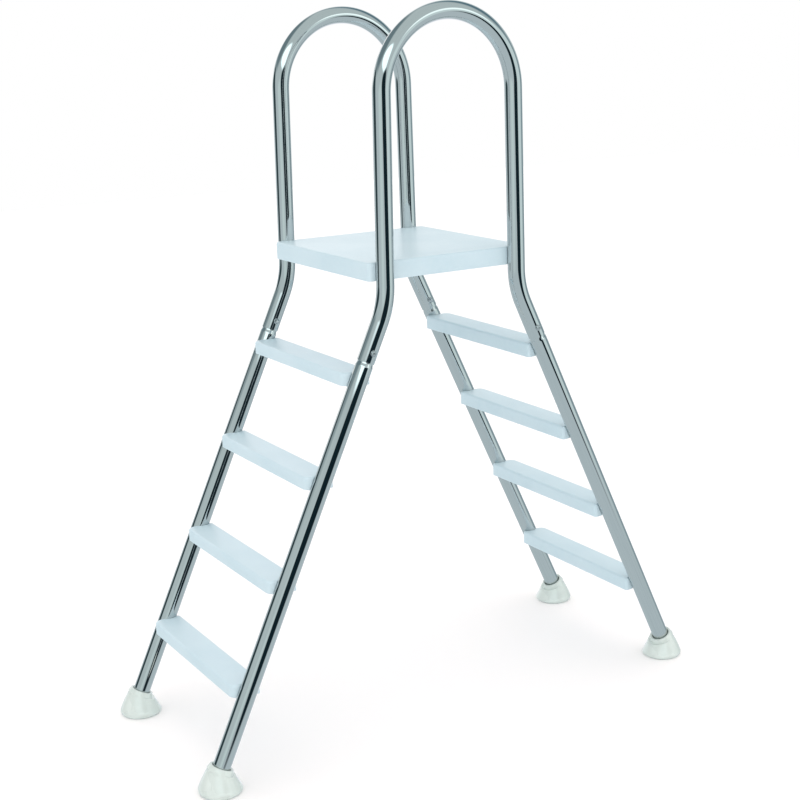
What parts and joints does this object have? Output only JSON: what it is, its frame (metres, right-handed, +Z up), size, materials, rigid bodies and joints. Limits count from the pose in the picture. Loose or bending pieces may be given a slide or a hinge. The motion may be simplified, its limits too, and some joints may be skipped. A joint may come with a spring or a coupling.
{
  "type": "pool ladder",
  "caption": "A-frame ladder for an above-ground pool, with arched tube handrails, leaning legs, moulded treads on both sides, a square platform and flared boots.",
  "frame": {"origin": "on the ground at the middle of the ladder, midway between the boots", "axes": "+X the way a bather walks into the pool, from the outer flight to the pool flight; +Y to that bather's left, along the treads; +Z up"},
  "size_m": [1.4658, 0.606, 1.784],
  "materials": {
    "polished_tube": "stainless steel tube polished to a mirror",
    "board_white": "moulded bluish white plastic, fine grain, slightly soft sheen",
    "boot_white": "moulded glossy off-white plastic",
    "fastener": "stainless steel, plain"
  },
  "bodies": {
    "root": {"handrail_left": "polished_tube", "handrail_right": "polished_tube", "leg_outer_left": "polished_tube", "boot_outer_left": "boot_white", "joint_bolt_outer_left": "fastener", "joint_nut_outer_left": "fastener", "platform_screw_outer_left": "fastener", "leg_outer_right": "polished_tube", "boot_outer_right": "boot_white", "joint_bolt_outer_right": "fastener", "joint_nut_outer_right": "fastener", "platform_screw_outer_right": "fastener", "step_outer_1": "board_white", "step_screw_outer_1_left": "fastener", "step_screw_outer_1_right": "fastener", "step_outer_2": "board_white", "step_screw_outer_2_left": "fastener", "step_screw_outer_2_right": "fastener", "step_outer_3": "board_white", "step_screw_outer_3_left": "fastener", "step_screw_outer_3_right": "fastener", "step_outer_4": "board_white", "step_screw_outer_4_left": "fastener", "step_screw_outer_4_right": "fastener", "leg_pool_left": "polished_tube", "boot_pool_left": "boot_white", "joint_bolt_pool_left": "fastener", "joint_nut_pool_left": "fastener", "platform_screw_pool_left": "fastener", "leg_pool_right": "polished_tube", "boot_pool_right": "boot_white", "joint_bolt_pool_right": "fastener", "joint_nut_pool_right": "fastener", "platform_screw_pool_right": "fastener", "step_pool_1": "board_white", "step_screw_pool_1_left": "fastener", "step_screw_pool_1_right": "fastener", "step_pool_2": "board_white", "step_screw_pool_2_left": "fastener", "step_screw_pool_2_right": "fastener", "step_pool_3": "board_white", "step_screw_pool_3_left": "fastener", "step_screw_pool_3_right": "fastener", "step_pool_4": "board_white", "step_screw_pool_4_left": "fastener", "step_screw_pool_4_right": "fastener", "platform": "board_white"}
  },
  "joints": []
}
